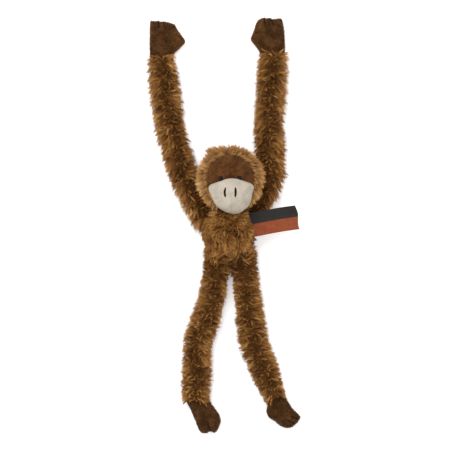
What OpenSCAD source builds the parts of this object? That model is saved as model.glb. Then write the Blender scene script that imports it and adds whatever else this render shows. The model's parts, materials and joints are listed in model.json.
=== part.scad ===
// Long-limbed stuffed monkey, lying on its back with its arms above its head.
// +X is the toy's own left, +Y runs from its feet to its hands, +Z points up from its back to
// its face. The origin is the middle of the flat of its back, on the surface that it lies on.

/* [Torso] */
// Radius of the belly, without the loose tips of the pile
belly_r = 28.5; // [24:0.5:34]
// Height of the middle of the torso above the surface that flattens its back
torso_z = 23.5; // [20:0.5:26]
// Radius of the stuffed neck
neck_r = 17; // [15:0.5:18]
// How far the middle of the neck lies beyond the belly's upper end, towards the head
neck_rise = 0.5; // [-2.5:0.5:4.5]

/* [Head] */
// Radius of the head, without the loose tips of the pile
head_r = 32.5; // [28:0.5:39]
// How far the middle of the head stands off the toy's centre line, towards its left
head_off = 1.5; // [0:0.5:3]
// Length of the head from the neck seam up to the middle of the head
head_rise = 28; // [24:0.5:29]
// Width of the muzzle
muzzle_w = 56; // [48:1:62]
// Height of the muzzle, from the chin to the eyes
muzzle_h = 41; // [36:1:46]
// Radius of an eye bead
eye_r = 3.3; // [2.5:0.1:4.5]
// Distance between the middles of the eyes
eye_gap = 22; // [18:0.5:26]
// Radius of an ear
ear_r = 8.5; // [7:0.5:10]
// How far an ear stands out of the side of the head
ear_reach = 10; // [8:0.5:11]

/* [Arms] */
// Radius of an arm, without the loose tips of the pile
arm_r = 10.5; // [9:0.5:12.5]
// Length of the top stretch of an arm
arm_top_len = 50; // [42:1:60]
// Length of the middle stretch of an arm
arm_mid_len = 67; // [56:1:80]
// Length of the last stretch of an arm, up to the wrist
arm_low_len = 77; // [64:1:92]

/* [Legs] */
// Radius of a leg, without the loose tips of the pile
leg_r = 11.5; // [10:0.5:13.5]
// Length of the top stretch of a leg
leg_top_len = 49; // [41:1:59]
// Length of the middle stretch of a leg
leg_mid_len = 52; // [44:1:62]
// Length of the last stretch of a leg, down to the ankle
leg_low_len = 64; // [54:1:77]

/* [Hands and feet] */
// Thickness of a stuffed hand or foot
mitt_t = 16; // [14:0.5:18]
// Length of a hand, from the middle of the wrist to the fingertips
hand_len = 49; // [42:1:58]
// Length of a foot, from the middle of the ankle to the toes
foot_len = 49; // [42:1:58]
// Width of a stitch line that marks the fingers and toes
stitch_w = 1.4; // [1:0.1:2]

/* [Label] */
// Length of the sewn-in label, from the seam to its free edge
label_len = 56; // [47:1:67]
// Height of the label
label_h = 29; // [24:1:34]
// Thickness of the folded label
label_t = 0.8; // [0.6:0.1:1.2]

/* [Cloth] */
// Thickness of the plush: its backing and its combed pile
plush_t = 4; // [3:0.25:5]
// Thickness of the felt on the face, hands and feet
felt_t = 1.5; // [1.2:0.1:2]
// Gap between a stuffed end and the hollow that it turns in
turn_gap = 0.3; // [0.25:0.05:0.5]
// Gap between the cloth and its stuffing
fill_gap = 0.15; // [0.1:0.05:0.25]

/* [Hidden] */
$fn = 72;

SIDES = ["right", "left"];

PLUSH = "#8a5f33";
FRINGE = "#a97e4d";
FELT = "#5b3a1f";
BROW = "#7a4b28";
CREAM = "#dcd6ca";
FILLING = "#f2f0ea";
BLACK = "#1c1c20";
RUST = "#c4572f";

far = 400;              // longer than any part of the toy, for cutting away one side
corner_fn = 24;         // facets of the round corners that a mitt's outline is drawn round
thread_gap = 0.05;      // gap round thread and beads where they are set into cloth
shank_gap = 0.1;        // gap round a shank and its washer
bead_gap = 0.15;        // gap between an eye bead and the cloth round it

// A stretch of limb ends in a ball about the joint centre, and the next stretch has a hollow of
// the same centre. It starts this share of its radius away, so that it can bend, or nearer if
// its plush would otherwise miss the hollow and stand off the ball.
bend_room = 0.8;
rim_cut = 0.1;          // the least depth that the hollow cuts into the plush's inner edge
function hollow_r(limb_r) = limb_r + turn_gap;
function sleeve_start(limb_r) =
    min(bend_room * limb_r, sqrt(pow(hollow_r(limb_r), 2) - pow(limb_r - plush_t, 2)) - rim_cut);

neck_lift = 4;          // the neck lies nearer to the face than the torso's middle does
neck_y = belly_r + neck_rise;
neck_at = [0, neck_y, torso_z + neck_lift];
neck_seam_y = neck_y + neck_r / 2;
head_flat = 3;          // how much the surface flattens the back of the head
head_at = [head_off, neck_seam_y + head_rise, head_r - head_flat];

// An arm passes the head as close as it can without touching it when it is raised.
shoulder_out = 0.5;     // how far a shoulder's middle lies outside the belly's side
shoulder_drop = 8;      // how far it lies below the middle of the neck
shoulder_half = belly_r + shoulder_out;
shoulder_y = neck_y - shoulder_drop;
head_gap = 0.8;
right_arm_spread = 9;   // the right arm lies further off the head than the left one does

hip_mid = 1.7;          // the legs meet a little to the left of the torso's centre line
hip_room = 4;           // half the gap between the two hips
hip_drop = 2;           // how far a hip's middle lies below the belly's lower end
hip_half = leg_r + hip_room;
hip_y = -belly_r - hip_drop;

// Headings of the stretches of each limb, from the body outwards, and of each hand and foot.
ARM_HEADINGS = [["right", [106, 97, 90]], ["left", [92, 86, 92]]];
LEG_HEADINGS = [["right", [264, 249, 268, 287]], ["left", [275, 279, 291, 307]]];
function of_side(table, side) = [for (row = table) if (row[0] == side) row[1]][0];

// The point that lies a length away from a point at a heading.
function step(p, len, heading) = p + len * [cos(heading), sin(heading)];

function heading(p, q) = atan2(q.y - p.y, q.x - p.x);

// The heading at which a line from a point passes a circle that it leaves on its left or right.
function passing(p, c, r, way) = heading(p, c) + way * asin(min(1, r / norm([c.x - p.x, c.y - p.y])));

function arm_path(side) =
    let (way = side == "right" ? 1 : -1,
         turn = of_side(ARM_HEADINGS, side),
         a = [-way * shoulder_half, shoulder_y],
         b = step(a, arm_top_len, passing(a, head_at, head_r + arm_r + head_gap, way)
                                  + (side == "right" ? right_arm_spread : 0)),
         c = step(b, arm_mid_len, turn[0]),
         d = step(c, arm_low_len, turn[1]))
    [a, b, c, d];

function leg_path(side) =
    let (turn = of_side(LEG_HEADINGS, side),
         a = [hip_mid + (side == "right" ? -hip_half : hip_half), hip_y],
         b = step(a, leg_top_len, turn[0]),
         c = step(b, leg_mid_len, turn[1]),
         d = step(c, leg_low_len, turn[2]))
    [a, b, c, d];

function hand_heading(side) = of_side(ARM_HEADINGS, side)[2];
function foot_heading(side) = of_side(LEG_HEADINGS, side)[3];

// Keeps the side of a shape that lies above or below a height.
module above(z) {
    intersection() {
        children();
        translate([-far, -far, z]) cube([2 * far, 2 * far, far]);
    }
}

module below(z) {
    intersection() {
        children();
        translate([-far, -far, z - far]) cube([2 * far, 2 * far, far]);
    }
}

// ---------------------------------------------------------------- limbs

// Half outline of a stretch of limb: a straight tube from start to len, with a ball at len.
module limb_outline(r, start, len) {
    intersection() {
        union() {
            translate([0, start]) square([r, len - start]);
            translate([0, len]) circle(r);
        }
        square([far, far]);
    }
}

// Stands a half outline up along the line from p to q, at height z.
module along(p, q, z) {
    translate([p.x, p.y, z]) rotate([0, 90, heading(p, q)]) rotate_extrude() children();
}

// The plush tube of one stretch, between two joint centres.
module sleeve(p, q, r) {
    len = norm(q - p);
    along(p, q, r) difference() {
        limb_outline(r, sleeve_start(r), len);
        limb_outline(r - plush_t, 0, len);
        circle(hollow_r(r));
    }
}

// The stuffing inside it.
module sleeve_filling(p, q, r) {
    len = norm(q - p);
    along(p, q, r) difference() {
        limb_outline(r - plush_t - fill_gap, sleeve_start(r), len);
        circle(hollow_r(r));
    }
}

// The gathered end of a sleeve, sewn into the torso's seam.
module limb_gather(p, r) {
    color(PLUSH) translate([p.x, p.y, r]) sphere(r);
}

module arm_sleeve(side, i) {
    path = arm_path(side);
    color(PLUSH) sleeve(path[i], path[i + 1], arm_r);
}

module arm_filling(side, i) {
    path = arm_path(side);
    color(FILLING) sleeve_filling(path[i], path[i + 1], arm_r);
}

module leg_sleeve(side, i) {
    path = leg_path(side);
    color(PLUSH) sleeve(path[i], path[i + 1], leg_r);
}

module leg_filling(side, i) {
    path = leg_path(side);
    color(FILLING) sleeve_filling(path[i], path[i + 1], leg_r);
}

// ---------------------------------------------------------------- hands and feet

// Draws an outline round corners, each given by the middle of its circle and its radius.
module round_outline(corners, inset) {
    hull() for (c = corners) translate([c[0], c[1]]) circle(c[2] - inset, $fn = corner_fn);
}

// Outline of a right hand, seen from the front: +Y runs to the fingertips, +X to the thumb.
thumb_share = 0.42;     // how far along the hand the thumb sticks out
module hand_outline(inset) {
    wrist_y = bend_room * arm_r + 4;
    fingers = [[-10.5, hand_len - 4.5, 4], [12, hand_len - 8, 4.5]];
    thumb = [25, thumb_share * hand_len, 5];
    round_outline([[-10.5, wrist_y, 4], fingers[0], fingers[1], thumb, [11, wrist_y, 4]], inset);
}

// Outline of a right foot: +Y runs to the toes, +X to the toy's centre line.
ball_share = 0.6;       // how far along the foot its widest place lies
module foot_outline(inset) {
    ankle_y = bend_room * leg_r + 5;
    toes = [[-8, foot_len - 6, 5], [8, foot_len - 6, 6]];
    ball = [10.5, ball_share * foot_len, 6];
    round_outline([[-10, ankle_y, 5], [10, ankle_y, 5], toes[0], toes[1], ball], inset);
}

// Places a flat mitt at the end of a limb, hollowed for the ball that it turns about.
module on_limb_end(side, at, limb_r, turn) {
    difference() {
        translate([at.x, at.y, 0]) rotate([0, 0, turn - 90])
            mirror([side == "left" ? 1 : 0, 0, 0]) children();
        translate([at.x, at.y, limb_r]) sphere(hollow_r(limb_r));
    }
}

// One dished layer of felt. The lower one lies on the surface and the upper one closes it.
open_by = 0.01;         // how far the hollow of the lower one runs on past its open side
module felt_layer(lower) {
    translate([0, 0, lower ? 0 : mitt_t / 2]) difference() {
        linear_extrude(mitt_t / 2) children(0);
        translate([0, 0, lower ? felt_t : 0])
            linear_extrude(mitt_t / 2 - felt_t + (lower ? open_by : 0)) children(1);
    }
}

module mitt_filling() {
    translate([0, 0, felt_t + fill_gap])
        linear_extrude(mitt_t - 2 * felt_t - 2 * fill_gap) children();
}

// Two short lines of thread across the tips, sunk into the upper layer of felt.
stitch_len = 7;
stitch_sink = 0.8;
stitch_xs = [-3.5, 4];
stitch_end = 2;         // gap between the end of a line and the tips
module stitches(tip, grow) {
    y = tip - stitch_end - stitch_len;
    for (x = stitch_xs)
        translate([x - stitch_w / 2 - grow, y - grow, mitt_t - stitch_sink - grow])
            cube([stitch_w + 2 * grow, stitch_len + 2 * grow, stitch_sink + 2 * grow]);
}

module hand_on(side) {
    on_limb_end(side, arm_path(side)[3], arm_r, hand_heading(side)) children();
}

module foot_on(side) {
    on_limb_end(side, leg_path(side)[3], leg_r, foot_heading(side)) children();
}

module hand_palm(side) {
    color(FELT) hand_on(side) felt_layer(true) {
        hand_outline(0);
        hand_outline(felt_t);
    }
}

module hand_back(side) {
    color(FELT) hand_on(side) difference() {
        felt_layer(false) {
            hand_outline(0);
            hand_outline(felt_t);
        }
        stitches(hand_len, thread_gap);
    }
}

module hand_filling(side) {
    color(FILLING) hand_on(side) mitt_filling() hand_outline(felt_t + fill_gap);
}

module finger_stitches(side) {
    color(BLACK) hand_on(side) stitches(hand_len, 0);
}

module foot_sole(side) {
    color(FELT) foot_on(side) felt_layer(true) {
        foot_outline(0);
        foot_outline(felt_t);
    }
}

module foot_top(side) {
    color(FELT) foot_on(side) difference() {
        felt_layer(false) {
            foot_outline(0);
            foot_outline(felt_t);
        }
        stitches(foot_len, thread_gap);
    }
}

module foot_filling(side) {
    color(FILLING) foot_on(side) mitt_filling() foot_outline(felt_t + fill_gap);
}

module toe_stitches(side) {
    color(BLACK) foot_on(side) stitches(foot_len, 0);
}

// ---------------------------------------------------------------- torso

// The torso is a round belly, taken in by an inset on every side, with hollows for the balls
// of the neck and the limbs.
module torso_solid(inset) {
    difference() {
        above(inset) translate([0, 0, torso_z]) sphere(belly_r - inset);
        translate(neck_at) sphere(hollow_r(neck_r) + inset);
        for (side = SIDES) {
            translate([arm_path(side)[0].x, arm_path(side)[0].y, arm_r])
                sphere(hollow_r(arm_r) + inset);
            translate([leg_path(side)[0].x, leg_path(side)[0].y, leg_r])
                sphere(hollow_r(leg_r) + inset);
        }
    }
}

// The side seam lies above the arms, so that they can swing under the label sewn into it.
seam_rise = 8;
seam_z = 2 * arm_r + seam_rise;

module torso_front() {
    color(PLUSH) difference() {
        above(seam_z) torso_solid(0);
        torso_solid(plush_t);
    }
}

module torso_back() {
    color(PLUSH) difference() {
        below(seam_z) torso_solid(0);
        torso_solid(plush_t);
    }
}

module torso_filling() {
    color(FILLING) torso_solid(plush_t + fill_gap);
}

// The neck: a stuffed ball in the torso's neck end, cut flat where the head is sewn on.
module neck_gather() {
    color(PLUSH) translate(neck_at) rotate([-90, 0, 0]) rotate_extrude() intersection() {
        circle(neck_r);
        translate([0, -far]) square([far, far + neck_seam_y - neck_y]);
    }
}

// The label stands out of the left side seam, and rises a little towards its free edge. Its
// sewn edge touches the belly where the seam runs the same way, and it folds up about that edge.
label_turn = 10;
label_rise = 7;
label_y = 10.3;         // where the middle of its sewn edge lies
label_reach = sqrt(pow(belly_r, 2) - pow(seam_z - torso_z, 2)) + turn_gap;
label_at = [(label_reach - label_y * sin(label_turn)) / cos(label_turn), label_y, seam_z + label_t];
module side_label() {
    color(RUST) translate(label_at)
        rotate([0, -label_rise, label_turn])
            translate([0, -label_h / 2, -label_t]) cube([label_len, label_h, label_t]);
}

// ---------------------------------------------------------------- head

// The brow panel fills the opening above face_z, and the muzzle's middle lies at muzzle_at.
face_share = 0.36;
muzzle_share = 0.68;
chin_share = 0.17;
face_z = head_at.z + face_share * head_r;
muzzle_at = [head_at.x, head_at.y - muzzle_h / 2, head_at.z + muzzle_share * head_r];
chin_z = muzzle_at.z - chin_share * muzzle_h;

// The muzzle is a roll with round ends that lies across the face, cut flat on its underside.
module muzzle_solid(inset) {
    r = muzzle_h / 2 - inset;
    half_straight = (muzzle_w - muzzle_h) / 2;
    above(chin_z + inset) translate(muzzle_at) rotate([0, 90, 0]) rotate_extrude() intersection() {
        union() {
            translate([0, -half_straight]) square([r, 2 * half_straight]);
            for (end = [-half_straight, half_straight]) translate([0, end]) circle(r);
        }
        translate([0, -far]) square([far, 2 * far]);
    }
}

module head_ball(inset) {
    translate(head_at) sphere(head_r - inset);
}

// Cuts the underside of the head flat, just clear of the neck that it is sewn to.
module sewn_flat() {
    difference() {
        children();
        translate([-far, neck_seam_y + turn_gap - 2 * far, -far]) cube(2 * far);
    }
}

module head_cover() {
    color(FRINGE) above(0) below(face_z) sewn_flat() difference() {
        head_ball(0);
        head_ball(plush_t);
        muzzle_solid(0);
    }
}

module brow_panel() {
    color(BROW) sewn_flat() difference() {
        above(face_z) head_ball(0);
        head_ball(felt_t);
        muzzle_solid(0);
        eye_shanks(shank_gap);
    }
}

module muzzle_panel() {
    color(CREAM) difference() {
        muzzle_solid(0);
        muzzle_solid(felt_t);
        head_ball(0);
        eye_room();
        nostril_lines(thread_gap);
    }
}

module head_filling() {
    color(FILLING) sewn_flat() difference() {
        union() {
            above(felt_t) head_ball(plush_t + fill_gap);
            above(face_z + fill_gap) head_ball(felt_t + fill_gap);
            muzzle_solid(felt_t + fill_gap);
        }
        eye_room();
        eye_shanks(shank_gap);
        washer_discs(shank_gap);
    }
}

// The eyes look out just above the muzzle.
eye_up = 1.6;
eye_y = head_at.y + eye_up;
function eye_x(side) = head_at.x + (side == "left" ? 1 : -1) * eye_gap / 2;
eye_z = head_at.z + sqrt(pow(head_r, 2) - pow(eye_gap / 2, 2) - pow(eye_y - head_at.y, 2));
shank_r = 1.2;
shank_len = 11;
shank_end = 0.5;        // how far a shank runs on into its bead
washer_r = 4.5;
washer_t = 1.2;
washer_depth = 7;

module eye_room() {
    for (side = SIDES) translate([eye_x(side), eye_y, eye_z]) sphere(eye_r + bead_gap);
}

// A shank runs from inside the head to just above the cloth, inside the bead.
module eye_shank(side, grow) {
    translate([eye_x(side), eye_y, eye_z - shank_len])
        cylinder(h = shank_len + shank_end + grow, r = shank_r + grow);
}

module eye_shanks(grow) {
    for (side = SIDES) eye_shank(side, grow);
}

module washer_discs(grow) {
    for (side = SIDES)
        translate([eye_x(side), eye_y, eye_z - washer_depth - grow])
            cylinder(h = washer_t + 2 * grow, r = washer_r + grow);
}

module eye(side) {
    color(BLACK) union() {
        difference() {
            translate([eye_x(side), eye_y, eye_z]) sphere(eye_r);
            head_ball(-thread_gap);
        }
        eye_shank(side, 0);
    }
}

module eye_washers() {
    color(CREAM) difference() {
        washer_discs(0);
        eye_shanks(thread_gap);
    }
}

// Two upright lines of satin stitch on the front of the muzzle.
nostril_gap = 12;
nostril_len = 10;
nostril_w = 2;
nostril_sink = 0.7;
nostril_up = 4;         // how far they lie above the middle of the muzzle
nostril_z = muzzle_at.z + muzzle_h / 4; // a height below both lines, inside the muzzle
module nostril_lines(grow) {
    intersection() {
        for (x = [-nostril_gap / 2, nostril_gap / 2])
            translate([muzzle_at.x + x - nostril_w / 2 - grow,
                       muzzle_at.y + nostril_up - nostril_len / 2 - grow, nostril_z])
                cube([nostril_w + 2 * grow, nostril_len + 2 * grow, muzzle_h / 2]);
        difference() {
            muzzle_solid(grow > 0 ? -1 : 0);
            muzzle_solid(nostril_sink + grow);
        }
    }
}

module nostril_stitches() {
    color(BLACK) nostril_lines(0);
}

// An ear is a flat disc sewn to the side of the head, nearer to the face than its middle.
ear_t = 3;
ear_lift = 7;
ear_drop = 2.5;         // how far it lies below the middle of the head
module ear(side) {
    x = (side == "left" ? 1 : -1) * (head_r + ear_reach - ear_r);
    color(BROW) difference() {
        translate([head_at.x + x, head_at.y - ear_drop, head_at.z + ear_lift])
            cylinder(h = ear_t, r = ear_r);
        head_ball(-thread_gap);
    }
}

// ---------------------------------------------------------------- the pieces

torso_front();
torso_back();
torso_filling();
side_label();
neck_gather();
head_cover();
brow_panel();
muzzle_panel();
head_filling();
nostril_stitches();
eye_washers();
for (side = SIDES) {
    eye(side);
    ear(side);
    limb_gather(arm_path(side)[0], arm_r);
    limb_gather(leg_path(side)[0], leg_r);
    for (i = [0:2]) {
        part = ["upper", "middle", "lower"][i];
        arm_sleeve(side, i);
        arm_filling(side, i);
        leg_sleeve(side, i);
        leg_filling(side, i);
    }
    hand_palm(side);
    hand_back(side);
    hand_filling(side);
    finger_stitches(side);
    foot_sole(side);
    foot_top(side);
    foot_filling(side);
    toe_stitches(side);
}
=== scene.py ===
import functools
import json
import math

import bpy
import numpy as np
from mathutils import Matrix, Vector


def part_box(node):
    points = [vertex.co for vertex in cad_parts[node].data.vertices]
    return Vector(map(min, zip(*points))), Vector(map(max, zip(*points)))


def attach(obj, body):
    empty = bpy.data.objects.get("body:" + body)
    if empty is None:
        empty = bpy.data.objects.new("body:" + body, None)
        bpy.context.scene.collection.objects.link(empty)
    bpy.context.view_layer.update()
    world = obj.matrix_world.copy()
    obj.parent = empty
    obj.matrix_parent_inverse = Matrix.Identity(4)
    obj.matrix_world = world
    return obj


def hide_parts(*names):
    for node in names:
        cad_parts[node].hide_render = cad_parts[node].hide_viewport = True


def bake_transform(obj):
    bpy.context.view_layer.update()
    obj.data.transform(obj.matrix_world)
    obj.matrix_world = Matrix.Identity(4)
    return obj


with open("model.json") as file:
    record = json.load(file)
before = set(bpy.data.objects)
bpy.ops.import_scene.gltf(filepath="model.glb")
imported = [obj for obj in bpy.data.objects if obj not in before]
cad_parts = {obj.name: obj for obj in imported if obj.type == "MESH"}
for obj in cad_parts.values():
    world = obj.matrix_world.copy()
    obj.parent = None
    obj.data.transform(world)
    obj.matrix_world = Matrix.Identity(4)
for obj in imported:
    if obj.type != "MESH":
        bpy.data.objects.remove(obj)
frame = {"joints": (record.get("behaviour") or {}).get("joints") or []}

bl_info = {
    "name": "Stuffed Monkey",
    "version": (1, 0, 0),
    "blender": (4, 5, 0),
    "location": "View3D > Sidebar > Monkey",
    "description": "Makes a long-limbed stuffed monkey with a felt face, hands and feet",
    "category": "Add Mesh",
}

MM = 0.001
UP = np.array([0.0, 0.0, 1.0])
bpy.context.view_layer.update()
FLOOR_CLEAR = 0.35  # nothing soft comes nearer to the surface below than this, in mm
TONES = 48          # shades of pile, side by side in the pile's map
FLOOR_GLOW = 0.3    # light that the floor gives off, which keeps the shadows on it faint
PILE_MAP = "OFBake"
WHOLE_MAP = (0.01, 0.01), (0.99, 0.99)  # the corners of the map, for a piece that has it to itself
SIDES = ("right", "left")


# ---------------------------------------------------------------- measures of the frame

def joint_at(name):
    """Where a joint's centre is, in mm."""
    for joint in frame["joints"]:
        if joint["name"] == name:
            return np.array(joint["pos_m"]) / MM
    raise ValueError(f"the frame has no joint named {name}")


@functools.cache
def node_box(name):
    """Lowest and highest corner of a node, in mm."""
    low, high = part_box(name)
    return np.array(low) / MM, np.array(high) / MM


def node_middle(name):
    low, high = node_box(name)
    return (low + high) / 2


HEAD_LOW, HEAD_HIGH = node_box("head_cover")
BROW_TOP = node_box("brow_panel")[1][2]
HEAD_R = (HEAD_HIGH[0] - HEAD_LOW[0]) / 2
HEAD_AT = np.array([(HEAD_HIGH[0] + HEAD_LOW[0]) / 2, HEAD_HIGH[1] - HEAD_R, BROW_TOP - HEAD_R])
FACE_Z = HEAD_HIGH[2]
BELLY_R = node_box("torso_back")[1][0]
TORSO_AT = np.array([0.0, 0.0, node_box("torso_front")[1][2] - BELLY_R])
NECK_AT = joint_at("neck_nod")


def srgb(red, green, blue):
    """A colour in 0 to 255 as shown on a screen, as the linear colour that a material takes."""
    return tuple(((c / 255 + 0.055) / 1.055) ** 2.4 if c > 10 else c / 3294 for c in (red, green, blue))


# ---------------------------------------------------------------- small mathematics

def unit(v):
    return v / np.maximum(np.linalg.norm(v, axis=-1, keepdims=True), 1e-9)


def smooth_step(x, low, high):
    t = np.clip((x - low) / (high - low), 0, 1)
    return t * t * (3 - 2 * t)


def along_cloth(way, normal, share=1.0):
    """A way less a share of the part of it that stands off the cloth."""
    return way - normal * (way * normal).sum(1, keepdims=True) * share


def ring_angles(count):
    """Angles evenly spaced around a full turn."""
    return np.linspace(0, 2 * math.pi, count, endpoint=False)


def ball_net(start, stop, rows, columns):
    """A net on a ball: its angles from the ball's top, and the way out to each of its points."""
    a, b = np.meshgrid(np.linspace(start, stop, rows), ring_angles(columns), indexing="ij")
    return a, np.stack([np.sin(a) * np.cos(b), np.sin(a) * np.sin(b), np.cos(a)], -1)


class Drift:
    """A smooth random field in space, about -1 to 1, that wanders over a wavelength in mm."""

    def __init__(self, source, wavelength, waves=14):
        """source is a seed, or a generator to draw from."""
        rng = np.random.default_rng(source)
        self.turns = unit(rng.normal(size=(waves, 3))) * (2 * math.pi / wavelength)
        self.turns *= rng.uniform(0.6, 1.5, (waves, 1))
        self.phase = rng.uniform(0, 2 * math.pi, waves)

    def __call__(self, p):
        return np.sin(p @ self.turns.T + self.phase).sum(-1) / math.sqrt(len(self.phase)) * 0.9


def soft_union(p, balls, softness):
    """Distance of points from the surface of balls that melt into each other."""
    total = sum(np.exp(-(np.linalg.norm(p - c, axis=-1) - r) / softness) for c, r in balls)
    return -softness * np.log(np.maximum(total, 1e-30))


class Blob:
    """A rounded body about a centre, found along rays, that rests flat on the surface below."""

    def __init__(self, centre, balls, softness, bumps=None, bump_height=0.0):
        self.centre, self.balls, self.softness = np.array(centre, float), balls, softness
        self.bumps, self.bump_height = bumps, bump_height

    def distance(self, p):
        d = soft_union(p, self.balls, self.softness)
        if self.bumps is not None:
            d = d - self.bump_height * self.bumps(p)
        return np.maximum(d, FLOOR_CLEAR - p[..., 2])

    def hit(self, way):
        near, far = np.zeros(way.shape[:-1]), np.full(way.shape[:-1], 120.0)
        for _ in range(22):
            middle = (near + far) / 2
            inside = self.distance(self.centre + way * middle[..., None]) < 0
            near, far = np.where(inside, middle, near), np.where(inside, far, middle)
        return self.centre + way * near[..., None]

    def normal(self, p):
        step = 0.6
        slopes = [self.distance(p + step * e) - self.distance(p - step * e) for e in np.eye(3)]
        return unit(np.stack(slopes, -1))


def even_ways(count, rng, jitter=0.03):
    """Directions spread evenly over a sphere, each shaken a little."""
    i = np.arange(count) + 0.5
    z = 1 - 2 * i / count
    turn = math.pi * (1 + 5 ** 0.5) * i
    flat = np.sqrt(1 - z * z)
    ways = np.stack([flat * np.cos(turn), flat * np.sin(turn), z], -1)
    return unit(ways + rng.normal(0, jitter, ways.shape))


def open_curve(points, count):
    """Evenly spaced points along an open line of points."""
    points = np.array(points, float)
    run = np.concatenate([[0], np.cumsum(np.linalg.norm(np.diff(points, axis=0), axis=1))])
    want = np.linspace(0, run[-1], count)
    return np.stack([np.interp(want, run, points[:, k]) for k in range(points.shape[1])], -1)


def closed_curve(points, count, tension=0.38, steps=24):
    """A smooth closed curve through points, as evenly spaced points."""
    points = np.array(points, float)
    n = len(points)
    t = np.linspace(0, 1, steps, endpoint=False)[:, None]
    dense = []
    for i in range(n):
        a, b, c, d = (points[(i + k) % n] for k in (-1, 0, 1, 2))
        m1, m2 = (c - a) * tension, (d - b) * tension
        dense.append((2 * t**3 - 3 * t**2 + 1) * b + (t**3 - 2 * t**2 + t) * m1
                     + (-2 * t**3 + 3 * t**2) * c + (t**3 - t**2) * m2)
    dense = np.vstack(dense)
    gaps = np.linalg.norm(np.roll(dense, -1, 0) - dense, axis=1)
    run = np.concatenate([[0], np.cumsum(gaps)])
    closed = np.vstack([dense, dense[:1]])
    want = np.linspace(0, run[-1], count, endpoint=False)
    return np.stack([np.interp(want, run, closed[:, k]) for k in range(points.shape[1])], -1)


# ---------------------------------------------------------------- shapes

class Shape:
    """Collects the corners and faces of one piece, in mm, and makes it in metres."""

    def __init__(self):
        self.corners, self.faces, self.places, self.kinds, self.values = [], [], [], [], []
        self.count = 0

    def add(self, corners, faces, places, kind=0, value=None):
        """faces is a list of index arrays, and places the map position of every corner."""
        corners = np.asarray(corners, float).reshape(-1, 3)
        places = np.asarray(places, float).reshape(-1, 2)
        for group in faces:
            self.faces.append(group + self.count)
            self.places.append(places[group].reshape(-1, 2))
            self.kinds.append(np.full(len(group), kind))
        self.corners.append(corners)
        self.values.append(np.zeros(len(corners)) if value is None else np.asarray(value, float).ravel())
        self.count += len(corners)

    def add_grid(self, points, places, kind=0, around=True, value=None):
        """A net of points, closed around its second direction unless around is false."""
        rows, columns = points.shape[:2]
        index = np.arange(rows * columns).reshape(rows, columns)
        if around:
            index = np.concatenate([index, index[:, :1]], 1)
        quads = np.stack([index[:-1, :-1], index[:-1, 1:], index[1:, 1:], index[1:, :-1]], -1)
        self.add(points, [quads.reshape(-1, 4)], places, kind, value)

    def make(self, name, materials):
        mesh = bpy.data.meshes.new(name)
        faces = [face for group in self.faces for face in group.tolist()]
        mesh.from_pydata((np.vstack(self.corners) * MM).tolist(), [], faces)
        layer = mesh.uv_layers.new(name=PILE_MAP)
        layer.data.foreach_set("uv", np.concatenate(self.places).ravel().astype(np.float32))
        rim = mesh.attributes.new("rim", "FLOAT", "POINT")
        rim.data.foreach_set("value", np.concatenate(self.values).astype(np.float32))
        for material in materials:
            mesh.materials.append(material)
        mesh.polygons.foreach_set("material_index", np.concatenate(self.kinds).astype(np.int32))
        mesh.polygons.foreach_set("use_smooth", np.full(len(faces), True))
        mesh.update()
        piece = bpy.data.objects.new(name, mesh)
        bpy.context.scene.collection.objects.link(piece)
        return piece


def grid_places(rows, columns, low=(0.02, 0.55), high=(0.98, 0.98)):
    """Map positions of a net of points, in the backing's half of the map."""
    u, v = np.meshgrid(np.linspace(low[0], high[0], columns), np.linspace(low[1], high[1], rows))
    return np.stack([u, v], -1)


def add_tube(shape, path, radius, sides=6, end_share=0.35):
    """A thin round thread along a path, tapered at its ends, with closed ends."""
    path = np.asarray(path, float)
    run = unit(np.gradient(path, axis=0))
    across = unit(np.cross(run, UP + 1e-3))
    lift = np.cross(across, run)
    turn = ring_angles(sides)
    last = len(path) - 1
    radii = radius * np.interp(np.arange(last + 1), [0, 1, last - 1, last], [end_share, 1, 1, end_share])
    ring = across[:, None] * np.cos(turn)[:, None] + lift[:, None] * np.sin(turn)[:, None]
    points = path[:, None] + ring * radii[:, None, None]
    places = np.stack(np.meshgrid(np.linspace(0.1, 0.9, sides), np.linspace(0.1, 0.9, len(path))), -1)
    index = np.arange(len(path) * sides).reshape(len(path), sides)
    around = np.concatenate([index, index[:, :1]], 1)
    quads = np.stack([around[:-1, :-1], around[:-1, 1:], around[1:, 1:], around[1:, :-1]], -1)
    shape.add(points, [quads.reshape(-1, 4), index[:1, ::-1], index[-1:]], places)


# ---------------------------------------------------------------- pile

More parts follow.
